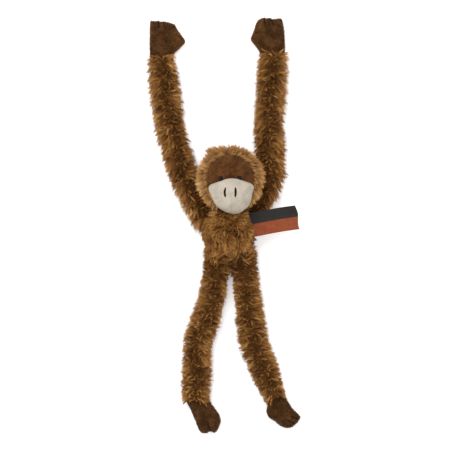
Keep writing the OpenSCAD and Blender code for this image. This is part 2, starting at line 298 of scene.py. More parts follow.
def add_locks(shape, rng, root, normal, flow, length, lift, tone, per_lock=11, spread=1.35,
              width=0.4, gather=0.86, curl=0.45, droop=0.12, kind=0):
    """Locks of pile. Each is a few tapered strands that gather towards the lock's tip.

    root, normal and flow hold a point, the cloth's normal and the way the pile is combed for
    each lock. lift is the share of the normal in a strand's course, and tone its shade.
    """
    n, k = len(root), per_lock
    length, lift, tone = (np.broadcast_to(np.asarray(x, float), (n,)) for x in (length, lift, tone))
    a = unit(np.cross(normal, [0.31, 0.77, 0.55]))
    b = np.cross(normal, a)
    turn = rng.uniform(0, 2 * math.pi, (n, k, 1))
    away = spread * np.sqrt(rng.uniform(0, 1, (n, k, 1)))
    offset = (a[:, None] * np.cos(turn) + b[:, None] * np.sin(turn)) * away
    base = root[:, None] + offset - normal[:, None] * 0.7
    bend = np.cross(normal, flow) * rng.normal(0, curl, (n, 1))
    first = unit(normal * (0.35 + 0.65 * lift[:, None]) + flow * (1 - lift[:, None]) + 0.3 * bend)
    last = unit(normal * lift[:, None] + flow * (1.05 - lift[:, None]) + bend - UP * droop)
    own_first = unit(first[:, None] + rng.normal(0, 0.12, (n, k, 3)))
    own_last = unit(last[:, None] + rng.normal(0, 0.2, (n, k, 3)))
    own_length = length[:, None, None] * rng.uniform(0.72, 1.12, (n, k, 1))
    strands = []
    for t, pull in ((0.0, 0.0), (0.38, 0.3), (0.72, 0.72), (1.0, 1.0)):
        rise, run = t * (2 - t) * 0.5, t * t * 0.5
        own = base + own_length * (own_first * rise + own_last * run)
        shared = root[:, None] + length[:, None, None] * (first[:, None] * rise + last[:, None] * run)
        strands.append(own + (shared - own) * gather * pull)
    p = np.stack(strands, 2).reshape(-1, 4, 3)
    run = unit(np.gradient(p, axis=1))
    facing = unit(UP * 0.9 + rng.normal(0, 0.65, (n * k, 1, 3)))
    across = unit(np.cross(run, facing))
    half = width / 2 * rng.uniform(0.7, 1.25, (n * k, 1, 1))
    taper = np.array([1.0, 0.88, 0.55])[:, None]
    left = p[:, :3] - across[:, :3] * half * taper
    right = p[:, :3] + across[:, :3] * half * taper
    corners = np.stack([*(edge[:, row] for row in range(3) for edge in (left, right)), p[:, 3]], 1)
    corners[..., 2] = np.maximum(corners[..., 2], FLOOR_CLEAR + rng.uniform(0, 0.5, (n * k, 1)))
    shade = np.clip(tone[:, None] + rng.normal(0, 0.1, (n, k)), 0, 0.999).ravel()
    column = np.floor(shade * TONES)
    u0, u1 = (column + 0.12) / TONES, (column + 0.88) / TONES
    *v, v_tip = 0.02, 0.19, 0.34, 0.47
    places = [np.stack([u, np.full_like(u, row)], -1) for row in v for u in (u0, u1)]
    places = np.stack([*places, np.stack([(u0 + u1) / 2, np.full_like(u0, v_tip)], -1)], 1)
    start = np.arange(n * k)[:, None] * 7
    quads = np.concatenate([start + [0, 1, 3, 2], start + [2, 3, 5, 4]])
    shape.add(corners, [quads, start + [4, 5, 6]], places, kind)


def add_nap(shape, rng, net, count, length):
    """Short loose fibres all over a net of points, closed around its second direction."""
    i, j = rng.integers(1, net.shape[0] - 1, count), rng.integers(0, net.shape[1], count)
    beside = net[i, (j + 1) % net.shape[1]] - net[i, j - 1]
    normal = unit(np.cross(net[i + 1, j] - net[i - 1, j], beside))
    away = net[i, j] - net.reshape(-1, 3).mean(0)
    normal = normal * np.where((normal * away).sum(1, keepdims=True) < 0, -1, 1)
    flow = unit(along_cloth(rng.normal(size=normal.shape), normal))
    tone = rng.uniform(0, 1, count)
    add_locks(shape, rng, net[i, j] + normal * 0.5, normal, flow, length, 0.5, tone, per_lock=4,
              spread=0.9, width=0.2, gather=0.1, curl=0.3, kind=1)


class Limb:
    """The course of an arm or leg through its joints, with its corners eased."""

    LEAD = 60.0  # the course runs on this far past its first and last joint, in mm

    def __init__(self, joints, radius, before, after, pile):
        self.radius, self.pile = radius, pile
        self.inward = -np.sign(joints[0][0])
        points = [np.array(j) for j in joints]
        first, last = unit(points[1] - points[0]), unit(points[-1] - points[-2])
        gaps = [np.linalg.norm(q - p) for p, q in zip(points, points[1:])]
        self.stops = np.concatenate([[0], np.cumsum(gaps)])
        corners = [points[0] - first * self.LEAD, *points, points[-1] + last * self.LEAD]
        runs = np.concatenate([[-self.LEAD], self.stops, [self.stops[-1] + self.LEAD]])
        self.s = np.arange(-self.LEAD, runs[-1], 1.0)
        line = np.stack([np.interp(self.s, runs, [c[k] for c in corners]) for k in range(3)], -1)
        reach = 15
        kernel = np.exp(-np.linspace(-2.2, 2.2, 2 * reach + 1) ** 2)
        kernel /= kernel.sum()
        padded = np.pad(line, ((reach, reach), (0, 0)), mode="reflect", reflect_type="odd")
        self.line = np.stack([np.convolve(padded[:, k], kernel, "valid") for k in range(3)], -1)
        self.way = unit(np.gradient(self.line, axis=0))
        self.before, self.after = -before, self.stops[-1] + after

    def at(self, s):
        return np.stack([np.interp(s, self.s, self.line[:, k]) for k in range(3)], -1)

    def heading(self, s):
        return unit(np.stack([np.interp(s, self.s, self.way[:, k]) for k in range(3)], -1))

    def surface(self, s, turn, drift):
        """Point and normal on the cloth, at a distance along and a turn from the top."""
        way = self.heading(s)
        out = UP * np.cos(turn)[..., None] + np.cross(way, UP) * np.sin(turn)[..., None]
        r = self.radius * (0.97 + 0.05 * drift(self.at(s) + out * self.radius))
        r = r * np.sqrt(np.clip(1 - (np.minimum(s, 0) / self.radius) ** 2, 0.01, 1))
        p = self.at(s) + out * r[..., None]
        p[..., 2] = np.maximum(p[..., 2], FLOOR_CLEAR)
        return p, unit(out - way * (np.minimum(s, 0) / self.radius)[..., None] * -1)


def limb_backing(shape, limb, s_from, s_to, drift, row_gap=2.4, columns=30, close=0.02):
    """The closed cloth of one part of a limb, drawn together at both ends."""
    rows = int((s_to - s_from) / row_gap) + 2
    s, turn = np.meshgrid(np.linspace(s_from, s_to, rows), ring_angles(columns), indexing="ij")
    p, _ = limb.surface(s, turn, drift)
    middle = p.mean(1, keepdims=True)
    p = np.concatenate([middle[:1] + (p[:1] - middle[:1]) * close, p,
                        middle[-1:] + (p[-1:] - middle[-1:]) * close])
    shape.add_grid(p, grid_places(rows + 2, columns), 1)


def limb_piece(name, limb, s_from, s_to, settings, seed):
    """The plush of one part of a limb: its backing and its pile, parted along the top."""
    rng = np.random.default_rng(seed)
    drift, meander, patches, tufts, tuft_tones = (
        Drift(*field) for field in ((5, 26), (6, 60), (7, 15), (8, 9), (9, 7)))
    shape, pile = Shape(), limb.pile
    limb_backing(shape, limb, s_from, s_to, drift)
    gap = settings.lock_gap / MM
    rows = max(1, round((s_to - s_from) / gap))
    columns = round(2 * math.pi * limb.radius / gap)
    s, turn = np.meshgrid(np.arange(rows), np.arange(columns), indexing="ij")
    s = s_from + (s + rng.uniform(0, 1, s.shape)) * (s_to - s_from) / rows
    turn = (turn + rng.uniform(-0.5, 0.5, turn.shape)) * 2 * math.pi / columns
    s, turn = s.ravel(), (turn.ravel() + math.pi) % (2 * math.pi) - math.pi
    p, normal = limb.surface(s, turn, drift)
    way = limb.heading(s)

    # How far a lock lies from the parting, underneath, at the cuff, and inside or outside the limb.
    parting = turn - 0.45 * meander(limb.at(s))
    flank = smooth_step(np.abs(parting), 0.1, 0.75)
    under = smooth_step(np.abs(turn), 1.9, 2.6)
    cuff = smooth_step(s, limb.after - 16, limb.after - 3)
    facing = normal[:, 0] * limb.inward
    inner = smooth_step(facing, 0.05, 0.6) * smooth_step(78 - s, 0, 22) * smooth_step(s, 10, 22)
    outer = smooth_step(-facing, 0.3, 0.8) * smooth_step(45 - s, 0, 25)

    around = unit(np.cross(way, normal)) * np.sign(parting + rng.normal(0, 0.3, len(s)))[:, None]
    around = np.where((under > 0.5)[:, None], -around, around)
    comb = (0.8 * tufts(p) * (1.3 - 0.9 * flank) + rng.normal(0, 0.3, len(s)) * (2.8 - 2 * flank)
            + pile["comb"] * flank)
    flow = unit(around + way * comb[:, None])
    flow = unit(flow + way * pile["cuff_comb"] * cuff[:, None])
    length = (settings.pile_length / MM * pile["long"] * (0.44 + 0.71 * flank) * (1 - 0.45 * under)
              * rng.uniform(0.8, 1.15, len(s)))
    length = length * (1 + pile["flare"] * smooth_step(s, limb.after - pile["flare_run"], limb.after - 3))
    length = length * (1 - pile["trim"] * (0.34 * inner + 0.2 * outer))
    lift = 0.6 - 0.3 * flank - 0.15 * under + 0.08 * tuft_tones(p) + rng.normal(0, 0.07, len(s))
    # Painted shade: the tone is darker on the limb's underside, and on its first stretch near the body where
    # the limb's table asks for it.
    tone = 0.31 + 0.22 * flank + 0.08 * patches(p) + 0.14 * tuft_tones(p) - 0.12 * under + 0.1 * cuff
    tone = (tone + rng.normal(0, 0.2, len(s)) * (1 - 0.5 * flank)
            - 0.2 * smooth_step(32 - s, 0, 24) * pile["start_shade"])
    add_locks(shape, rng, p, normal, flow, length, np.clip(lift, 0.05, 0.95), tone, curl=0.5, gather=0.7)
    return shape.make(name, [plush_pile_material(), plush_backing_painted_shade_material()])


# ---------------------------------------------------------------- materials

def new_material(name, roughness, sheen=0.0, specular=0.3):
    """A new material, its surface shader, a function that adds a joined node, and its links."""
    material = bpy.data.materials.new(name)
    material.use_nodes = True
    nodes, links = material.node_tree.nodes, material.node_tree.links
    shader = nodes["Principled BSDF"]
    shader.inputs["Roughness"].default_value = roughness
    shader.inputs["Sheen Weight"].default_value = sheen
    shader.inputs["Sheen Roughness"].default_value = 0.5
    shader.inputs["Specular IOR Level"].default_value = specular

    def node(kind, inputs=None, **fields):
        made = nodes.new(kind)
        for key, value in fields.items():
            setattr(made, key, value)
        for key, value in (inputs or {}).items():
            if isinstance(value, bpy.types.NodeSocket):
                links.new(value, made.inputs[key])
            else:
                made.inputs[key].default_value = value
        return made

    return material, shader, node, links


def ramp(node, factor, stops):
    made = node("ShaderNodeValToRGB", {"Fac": factor})
    elements = made.color_ramp.elements
    while len(elements) < len(stops):
        elements.new(0.5)
    for element, (position, colour) in zip(elements, stops):
        element.position = position
        element.color = (*colour, 1)
    return made.outputs["Color"]


def mixed(node, kind, factor, a, b):
    made = node("ShaderNodeMix", data_type="RGBA", blend_type=kind)
    links = made.id_data.links
    for key, value in ((0, factor), (6, a), (7, b)):
        if isinstance(value, bpy.types.NodeSocket):
            links.new(value, made.inputs[key])
        else:
            made.inputs[key].default_value = value
    return made.outputs[2]


def noise(node, place, scale, detail=2.0, **more):
    """Soft noise around a half."""
    inputs = {"Vector": place, "Scale": scale, "Detail": detail, **more}
    return node("ShaderNodeTexNoise", inputs).outputs["Fac"]


def bands(node, place, scale, distortion, direction):
    inputs = {"Vector": place, "Scale": scale, "Distortion": distortion}
    return node("ShaderNodeTexWave", inputs, wave_type="BANDS", bands_direction=direction).outputs["Fac"]


def shades(colour, *shares):
    """A colour made darker or lighter by each share."""
    return [tuple(c * share for c in colour) for share in shares]


def pile_material(name, stops):
    """Strands coloured by their shade across the map and, along it, from a root darkened with painted shade
    to a lighter tip.
    """
    material, shader, node, links = new_material(name, 0.7, specular=0.12)
    place = node("ShaderNodeUVMap", uv_map=PILE_MAP)
    parts = node("ShaderNodeSeparateXYZ", {"Vector": place.outputs["UV"]})
    colour = ramp(node, parts.outputs["X"], stops)
    fibre_place = node("ShaderNodeMapping", {"Vector": place.outputs["UV"], "Scale": (150, 5, 1)})
    fibres = noise(node, fibre_place.outputs["Vector"], 1.0)
    streaks = ramp(node, fibres, [(0.3, (0.66, 0.64, 0.6)), (0.7, (1.22, 1.2, 1.16))])
    colour = mixed(node, "MULTIPLY", 1.0, colour, streaks)
    # Painted shade: each strand darkens towards its root, deep in the pile, and is lighter at its tip.
    root_shade = ramp(node, parts.outputs["Y"], [(0.0, (0.3, 0.27, 0.23)), (0.16, (0.58, 0.54, 0.49)),
                                            (0.34, (1.0, 1.0, 1.0)), (0.47, (1.35, 1.35, 1.3))])
    colour = mixed(node, "MULTIPLY", 1.0, colour, root_shade)
    links.new(colour, shader.inputs["Base Color"])
    return material


def nap_material(name, *tones):
    """Loose fibres on felt, in tones spread evenly over the map."""
    return pile_material(name, [(k / 3, tone) for k, tone in enumerate(tones)])


@functools.cache
def plush_pile_material():
    colours = bpy.context.scene.monkey_colours
    root, base = shades(colours.plush, 0.4, 0.95)
    return pile_material("plush_pile", [
        (0.0, root), (0.35, base), (0.65, tuple(colours.plush_light)), (1.0, srgb(218, 170, 104))])


@functools.cache
def fringe_pile_material():
    colours = bpy.context.scene.monkey_colours
    return pile_material("fringe_pile", [
        (0.0, tuple(colours.plush)), (0.35, srgb(170, 124, 72)),
        (0.7, tuple(colours.fringe)), (1.0, srgb(240, 208, 160))])


def cloth_material(name, dark, middle, light, fine=420.0, blotch=90.0, bump=0.5, sheen=0.03, rim=None):
    """Felt or backing: matted fibres in three shades, larger patches, and a fine nap."""
    material, shader, node, links = new_material(name, 0.95, sheen=sheen, specular=0.06)
    place = node("ShaderNodeTexCoord").outputs["Object"]
    fibres = noise(node, place, fine, 6.0, Roughness=0.7)
    total = node("ShaderNodeMath", {0: fibres, 1: noise(node, place, blotch, 3.0)}, operation="ADD")
    half = node("ShaderNodeMath", {0: total.outputs[0], 1: 0.5}, operation="MULTIPLY")
    colour = ramp(node, half.outputs[0], [(0.42, dark), (0.5, middle), (0.58, light)])
    if rim is not None:
        edge = node("ShaderNodeAttribute", attribute_name="rim")
        colour = mixed(node, "MIX", edge.outputs["Fac"], colour, (*rim, 1))
    links.new(colour, shader.inputs["Base Color"])
    nap = node("ShaderNodeBump", {"Strength": bump, "Distance": 0.0008, "Height": fibres})
    links.new(nap.outputs["Normal"], shader.inputs["Normal"])
    return material


@functools.cache
# The backing under the pile takes a fifth to a half of the plush's colour: painted shade showing in the gaps
# between locks.
def plush_backing_painted_shade_material():
    plush = bpy.context.scene.monkey_colours.plush
    return cloth_material("plush_backing_painted_shade", *shades(plush, 0.2, 0.34, 0.5), fine=900)


@functools.cache
def felt_material():
    felt = bpy.context.scene.monkey_colours.felt
    # The rim colour, lighter than the felt, is a painted highlight along the sewn edges of the hands and
    # feet.
    return cloth_material("brown_felt", *shades(felt, 0.6, 1.0, 1.7),
                          rim=tuple(c * share for c, share in zip(felt, (3.2, 3.0, 2.6))))


@functools.cache
def brow_felt_material():
    return cloth_material("brow_felt", *shades(bpy.context.scene.monkey_colours.brow, 0.66, 1.0, 1.5))


@functools.cache
def felt_nap_material():
    return nap_material("felt_nap", *shades(bpy.context.scene.monkey_colours.felt, 0.6, 1.2, 2.0, 3.2))


@functools.cache
def brow_nap_material():
    return nap_material("brow_nap", *shades(bpy.context.scene.monkey_colours.brow, 0.6, 1.1, 1.6, 2.2))


@functools.cache
def ear_felt_material():
    return cloth_material("ear_felt", srgb(92, 48, 28), srgb(118, 64, 38), srgb(146, 86, 54))


@functools.cache
def muzzle_felt_material():
    muzzle = bpy.context.scene.monkey_colours.muzzle
    # The rim colour is the painted shade at the muzzle's edge and middle seam.
    return cloth_material("muzzle_felt", *shades(muzzle, 0.86, 1.0, 1.1), fine=600,
                          bump=0.3, sheen=0.0, rim=srgb(150, 128, 100))


@functools.cache
def thread_material():
    material, shader, node, links = new_material("black_thread", 0.85, specular=0.08)
    place = node("ShaderNodeTexCoord").outputs["Object"]
    twist = bands(node, place, 900.0, 1.5, "DIAGONAL")
    colour = ramp(node, twist, [(0.2, srgb(13, 11, 11)), (0.8, srgb(32, 28, 26))])
    links.new(colour, shader.inputs["Base Color"])
    return material


@functools.cache
def eye_material():
    material, shader, node, links = new_material("eye_bead", 0.12, specular=0.12)
    shader.inputs["Coat Weight"].default_value = 0.05
    shader.inputs["Coat Roughness"].default_value = 0.04
    place = node("ShaderNodeTexCoord").outputs["Object"]
    colour = ramp(node, noise(node, place, 300.0), [(0.35, srgb(8, 7, 9)), (0.7, srgb(16, 14, 18))])
    links.new(colour, shader.inputs["Base Color"])
    return material


@functools.cache
def label_material():
    """A satin ribbon in two bands of colour, with its fine weave."""
    colours = bpy.context.scene.monkey_colours
    material, shader, node, links = new_material("label_ribbon", 0.6, specular=0.2)
    place = node("ShaderNodeUVMap", uv_map=PILE_MAP).outputs["UV"]
    parts = node("ShaderNodeSeparateXYZ", {"Vector": place})
    band = ramp(node, parts.outputs["Y"], [(0.515, tuple(colours.label_lower)),
                                           (0.53, tuple(colours.label_upper))])
    warp = bands(node, place, 60.0, 0.4, "X")
    weft = bands(node, place, 32.0, 0.4, "Y")
    weave = mixed(node, "MULTIPLY", 1.0,
                  ramp(node, warp, [(0.0, (0.82, 0.82, 0.82)), (1.0, (1.1, 1.1, 1.1))]),
                  ramp(node, weft, [(0.0, (0.86, 0.86, 0.86)), (1.0, (1.08, 1.08, 1.08))]))
    # Soft lighter and darker patches over the ribbon.
    soft_patches = ramp(node, noise(node, place, 5.0, 4.0), [(0.3, (0.84, 0.84, 0.86)), (0.7, (1.16, 1.14, 1.12))])
    colour = mixed(node, "MULTIPLY", 1.0, mixed(node, "MULTIPLY", 1.0, band, weave), soft_patches)
    links.new(colour, shader.inputs["Base Color"])
    bump = node("ShaderNodeBump", {"Strength": 0.3, "Distance": 0.0002, "Height": warp})
    links.new(bump.outputs["Normal"], shader.inputs["Normal"])
    return material


@functools.cache
def floor_material():
    material, shader, node, links = new_material("floor", 0.9, specular=0.1)
    place = node("ShaderNodeTexCoord").outputs["Object"]
    colour = ramp(node, noise(node, place, 30.0), [(0.3, srgb(250, 250, 250)), (0.7, srgb(253, 253, 253))])
    links.new(colour, shader.inputs["Base Color"])
    shader.inputs["Emission Color"].default_value = (1, 1, 1, 1)
    shader.inputs["Emission Strength"].default_value = FLOOR_GLOW
    return material


# ---------------------------------------------------------------- what a user changes

class MonkeySizes(bpy.types.PropertyGroup):
    pile_length: bpy.props.FloatProperty(
        name="Pile Length", description="Length of the plush's pile on the limbs and the torso",
        default=0.0105, min=0.004, max=0.02, subtype="DISTANCE", unit="LENGTH")
    fringe_length: bpy.props.FloatProperty(
        name="Fringe Length", description="Length of the longer pile around the face",
        default=0.0125, min=0.005, max=0.025, subtype="DISTANCE", unit="LENGTH")
    lock_gap: bpy.props.FloatProperty(
        name="Lock Gap", description="Distance between one lock of pile and the next",
        default=0.0023, min=0.0015, max=0.006, subtype="DISTANCE", unit="LENGTH")
    camera_height: bpy.props.FloatProperty(
        name="Camera Height", description="Height of the camera above the surface",
        default=3.02, min=0.5, max=10, subtype="DISTANCE", unit="LENGTH")


def colour_property(name, description, default):
    return bpy.props.FloatVectorProperty(name=name, description=description, default=default,
                                         min=0, max=1, size=3, subtype="COLOR")


class MonkeyColours(bpy.types.PropertyGroup):
    plush: colour_property("Plush", "Colour of the plush near its roots", srgb(128, 83, 38))
    plush_light: colour_property("Plush Tips", "Colour of the plush where it is lighter", srgb(177, 127, 68))
    fringe: colour_property("Fringe", "Colour of the longer pile around the face", srgb(200, 154, 98))
    felt: colour_property("Felt", "Colour of the hands and feet", srgb(69, 44, 22))
    brow: colour_property("Brow", "Colour of the panel around the eyes", srgb(83, 51, 25))
    muzzle: colour_property("Muzzle", "Colour of the muzzle", srgb(179, 169, 155))
    label_upper: colour_property("Label Upper Band", "Colour of the label's upper band", srgb(38, 35, 34))
    label_lower: colour_property("Label Lower Band", "Colour of the label's lower band", srgb(138, 68, 36))


# ---------------------------------------------------------------- torso, neck and head

def torso_blob():
    bumps = Drift(11, 30)
    hips = [(joint_at(f"{side}_hip_swing") + [0, 6, 3], 13.5) for side in SIDES]
    chest = TORSO_AT + [0, 13, 0], 20.5
    return Blob(TORSO_AT + [0, 2, 0], [(TORSO_AT, BELLY_R - 1.2), chest, *hips], 2.6, bumps, 0.9)


def add_backing(shape, blob, rows, columns):
    """The closed surface of a blob, as a net between a pole towards the head and one opposite."""
    _, way = ball_net(0.02, math.pi - 0.02, rows, columns)
    shape.add_grid(blob.hit(way[..., [0, 2, 1]] * [1, 1, -1]), grid_places(rows, columns), 1)


def lock_ways(radius, settings, fullness, rng):
    """Ways out to the locks of a ball, at the gap between locks that is asked for."""
    gap = settings.lock_gap / MM
    return even_ways(int(4 * math.pi * radius**2 / gap**2 * fullness), rng)


class MONKEY_OT_torso(bpy.types.Operator):
    """Makes the plush torso, matted on the belly and combed down towards the legs"""
    bl_idname = "monkey.torso"
    bl_label = "Torso"

    def execute(self, context):
        settings = context.scene.monkey_sizes
        rng = np.random.default_rng(21)
        blob, shape = torso_blob(), Shape()
        add_backing(shape, blob, 60, 80)
        p = blob.hit(lock_ways(BELLY_R, settings, 1.35, rng))
        normal = blob.normal(p)
        hidden = (p[:, 1] > NECK_AT[1] - 2) & (np.abs(p[:, 0]) < 12)
        for side in SIDES:
            for joint, radius in (("shoulder_swing", 9.0), ("hip_swing", 9.5)):
                hidden |= np.linalg.norm(p - joint_at(f"{side}_{joint}"), axis=1) < radius
        p, normal = p[~hidden], normal[~hidden]
        swirl = Drift(rng, 34)(p) * 1.5
        outwards = np.sign(p[:, 0]) * smooth_step(np.abs(p[:, 0]), 6, 26)
        down = np.array([0.0, -1.0, 0.0]) + np.outer(outwards, [1.1, 0, 0])
        turned = np.stack([down[:, 0] * np.cos(swirl) - down[:, 1] * np.sin(swirl),
                           down[:, 0] * np.sin(swirl) + down[:, 1] * np.cos(swirl), down[:, 2]], -1)
        flow = unit(along_cloth(turned, normal) + rng.normal(0, 0.2, p.shape))
        under = smooth_step(-normal[:, 2], 0.35, 0.9)
        length = settings.pile_length / MM * (0.8 - 0.45 * under) * rng.uniform(0.75, 1.2, len(p))
        tufts = Drift(rng, 8)(p)
        lift = np.clip(0.3 - 0.2 * under + 0.06 * tufts + rng.normal(0, 0.06, len(p)), 0.05, 0.9)
        tone = 0.48 + 0.1 * Drift(rng, 17)(p) + 0.12 * tufts + rng.normal(0, 0.08, len(p))
        # Lighter towards the bottom of the belly, and lighter on the chest as painted light against the
        # head's shadow.
        tone = tone + 0.12 * smooth_step(-p[:, 1], 8, 20) + 0.12 * smooth_step(p[:, 1], 4, 18)
        add_locks(shape, rng, p, normal, flow, length, lift, tone, curl=0.6, gather=0.74)
        piece = shape.make("torso_plush", [plush_pile_material(), plush_backing_painted_shade_material()])
        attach(piece, "torso")
        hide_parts("torso_front", "torso_back", "torso_filling")
        return {"FINISHED"}


class MONKEY_OT_neck(bpy.types.Operator):
    """Makes the short plush neck between the torso and the head"""
    bl_idname = "monkey.neck"
    bl_label = "Neck"

    LOCKS = 420

    def execute(self, context):
        settings = context.scene.monkey_sizes
        rng = np.random.default_rng(31)
        low, high = node_box("neck_gather")
        radius = (high[0] - low[0]) / 2
        blob = Blob(NECK_AT, [(NECK_AT, radius - 0.6), (NECK_AT + [0, 7, 0], radius - 2)], 1.5)
        shape = Shape()
        add_backing(shape, blob, 34, 48)
        way = even_ways(self.LOCKS, rng, 0.05)
        way = way[(way[:, 1] < 0.9) & (way[:, 1] > -0.55)]
        p = blob.hit(way)
        normal = blob.normal(p)
        flow = unit(np.array([0, -0.7, 0]) + rng.normal(0, 0.5, p.shape))
        flow = unit(along_cloth(flow, normal))
        length = settings.pile_length / MM * 0.7 * rng.uniform(0.8, 1.1, len(p))
        tone = 0.36 + 0.12 * rng.normal(size=len(p))
        add_locks(shape, rng, p, normal, flow, length, 0.4, tone)
        piece = shape.make("neck_plush", [plush_pile_material(), plush_backing_painted_shade_material()])
        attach(piece, "neck")
        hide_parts("neck_gather")
        return {"FINISHED"}


FRINGE_RIM_R = math.sqrt(HEAD_R**2 - (FACE_Z - HEAD_AT[2]) ** 2) - 0.4
RIM_LOCKS, FACE_EDGE_LOCKS = 520, 330


def on_ring(angle, radius, height):
    """Points around the face, from the middle of the head."""
    return np.stack([np.cos(angle) * radius, np.sin(angle) * radius, height], -1)


def round_the_face(out, p):
    """The way down either side of the face, from a parting just left of its top."""
    return np.stack([out[:, 1], -out[:, 0], 0 * out[:, 0]], -1) * np.sign(p[:, :1] - HEAD_AT[0] + 4)


def head_pile(settings, blob, rng):
    """Point, normal, course, length, lift and tone of the locks on the head and its fringe."""
    p = blob.hit(lock_ways(HEAD_R, settings, 1.3, rng))
    near_neck = (p[:, 1] < NECK_AT[1] + 12) & (np.abs(p[:, 0] - HEAD_AT[0]) < 14) & (p[:, 2] < 40)
    p = p[(p[:, 2] < FACE_Z + 0.5) & ~near_neck]
    ring = rng.uniform(0, 2 * math.pi, RIM_LOCKS)
    rim = HEAD_AT + on_ring(ring, FRINGE_RIM_R, FACE_Z - HEAD_AT[2] + rng.uniform(-3, 1.2, RIM_LOCKS))
    rim = rim[~((rim[:, 1] < NECK_AT[1] + 14) & (np.abs(rim[:, 0] - HEAD_AT[0]) < 18))]
    p = np.vstack([p, rim])
    normal = np.where(p[:, 2:] < 1.0, [0, 0, -1.0], unit(p - HEAD_AT))
    out = unit((p - HEAD_AT) * [1, 1, 0])
    front = smooth_step(p[:, 2], HEAD_AT[2] - 12, FACE_Z - 1)
    back_way = np.array([0.0, -0.6, -0.9])
    swirl = 0.55 + 0.6 * Drift(rng, 26)(p)
    flow = (out + round_the_face(out, p) * swirl[:, None]) * front[:, None] + back_way * (1 - front[:, None])
    flow = along_cloth(flow, normal, 1 - front[:, None])
    flow = unit(flow + rng.normal(0, 0.14, p.shape))
    top = smooth_step(out[:, 1], -0.2, 0.9)
    length = (settings.fringe_length / MM * (1.0 - 0.08 * top) * front
              + settings.pile_length / MM * 0.85 * (1 - front))
    length = length * rng.uniform(0.7, 1.15, len(p)) * (1 - 0.55 * smooth_step(-normal[:, 2], 0.6, 0.95))
    peak = np.exp(-((p[:, 0] - HEAD_AT[0] + 14) ** 2 + (p[:, 1] - HEAD_AT[1] - HEAD_R + 4) ** 2) / 40)
    length = length + 8 * peak * front
    tufts = Drift(rng, 8)(p)
    lift = np.clip(0.3 + 0.1 * tufts + rng.normal(0, 0.06, len(p)) - 0.16 * (1 - front), 0.05, 0.9)
    tone = (0.33 + (0.28 - 0.12 * top) * front + 0.1 * Drift(rng, 12)(p) + 0.16 * tufts
            + rng.normal(0, 0.09, len(p)))
    return p, normal, flow, length, lift, tone


def face_edge_pile(rng):
    """The same for short locks that sweep over the edge of the face."""
    ring = rng.uniform(0, 2 * math.pi, FACE_EDGE_LOCKS)
    edge_r = FRINGE_RIM_R - rng.uniform(0.2, 2.2, FACE_EDGE_LOCKS)
    p = on_ring(ring, edge_r, np.sqrt(HEAD_R**2 - edge_r**2)) + HEAD_AT
    p = p[p[:, 1] > NECK_AT[1] + 16]
    count = len(p)
    out = unit((p - HEAD_AT) * [1, 1, 0])
    sweep = unit(out * rng.uniform(0.1, 0.9, (count, 1)) + 0.9 * round_the_face(out, p))
    return (p, unit(p - HEAD_AT), sweep, rng.uniform(4.5, 7.5, count), rng.uniform(0.15, 0.35, count),
            rng.uniform(0.3, 0.65, count))


class MONKEY_OT_head(bpy.types.Operator):
    """Makes the plush head with its longer, lighter fringe around the face"""
    bl_idname = "monkey.head"
    bl_label = "Head"

    def execute(self, context):
        rng = np.random.default_rng(41)
        blob = Blob(HEAD_AT, [(HEAD_AT, HEAD_R - 1.0)], 1.0, Drift(12, 26), 0.5)
        shape = Shape()
        rows, columns = 46, 84
        _, way = ball_net(0.98, math.pi - 0.02, rows, columns)
        shape.add_grid(blob.hit(way), grid_places(rows, columns), 1)
        locks = zip(head_pile(context.scene.monkey_sizes, blob, rng), face_edge_pile(rng))
        add_locks(shape, rng, *(np.concatenate(both) for both in locks), spread=1.4,
                  curl=0.42, gather=0.75, droop=0.05)
        piece = shape.make("head_plush", [fringe_pile_material(), plush_backing_painted_shade_material()])
        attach(piece, "head")
        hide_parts("head_cover", "head_filling", "eye_washers")
        return {"FINISHED"}


def head_surface_z(x, y, grow=0.3):
    """Height of the brow panel's surface above a point of the face."""
    r = HEAD_R + grow
    return HEAD_AT[2] + np.sqrt(np.maximum(r**2 - (x - HEAD_AT[0]) ** 2 - (y - HEAD_AT[1]) ** 2, 1.0))


class MONKEY_OT_brow(bpy.types.Operator):
    """Makes the felt brow panel that surrounds the eyes"""
    bl_idname = "monkey.brow"
    bl_label = "Brow Panel"

    def execute(self, context):
        rng = np.random.default_rng(51)
        drift = Drift(rng, 22)
        rows, columns = 44, 110
        rim = math.acos((FACE_Z - 1.5 - HEAD_AT[2]) / HEAD_R)
        a, way = ball_net(0.01, rim, rows, columns)
        p = HEAD_AT + way * HEAD_R
        r = HEAD_R + 0.25 + 0.35 * drift(p) - 2.6 * smooth_step(a, rim - 0.09, rim)
        for side in SIDES:
            gap = np.linalg.norm((p - node_middle(f"{side}_eye"))[..., :2], axis=-1)
            r = r - 0.9 * np.exp(-((gap / 5.0) ** 2))
        shape = Shape()
        p = HEAD_AT + way * r[..., None]
        inner = HEAD_AT + way * (r[..., None] - 1.3)
        both = np.concatenate([p, inner[::-1]])
        value = np.concatenate([smooth_step(a, rim - 0.16, rim - 0.02) * 0.35, np.zeros_like(a)])
        shape.add_grid(both, grid_places(2 * rows, columns, *WHOLE_MAP), value=value)
        add_nap(shape, rng, p, 1600, 1.4)
        piece = shape.make("brow_felt", [brow_felt_material(), brow_nap_material()])
        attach(piece, "head")
        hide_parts("brow_panel")
        return {"FINISHED"}


MUZZLE_RINGS, MUZZLE_EDGE_RINGS, MUZZLE_COLUMNS = 34, 12, 120

# Outline of the muzzle from the front: across and along, from the middle of its own box.
MUZZLE_OUTLINE = [
    (1.3, 22.0), (-4.5, 21.2), (-10.7, 19.0), (-17.5, 16.8), (-23.6, 14.6), (-26.2, 10.8),
    (-25.2, 5.0), (-22.4, -1.5), (-16.6, -10.8), (-10.2, -15.8), (-3.6, -19.0), (4.4, -20.7),
    (10.6, -19.4), (16.0, -16.2), (22.8, -9.2), (26.8, 1.5), (29.0, 9.0), (28.4, 12.6), (25.3, 15.6),
    (16.3, 18.9), (8.6, 21.2)]


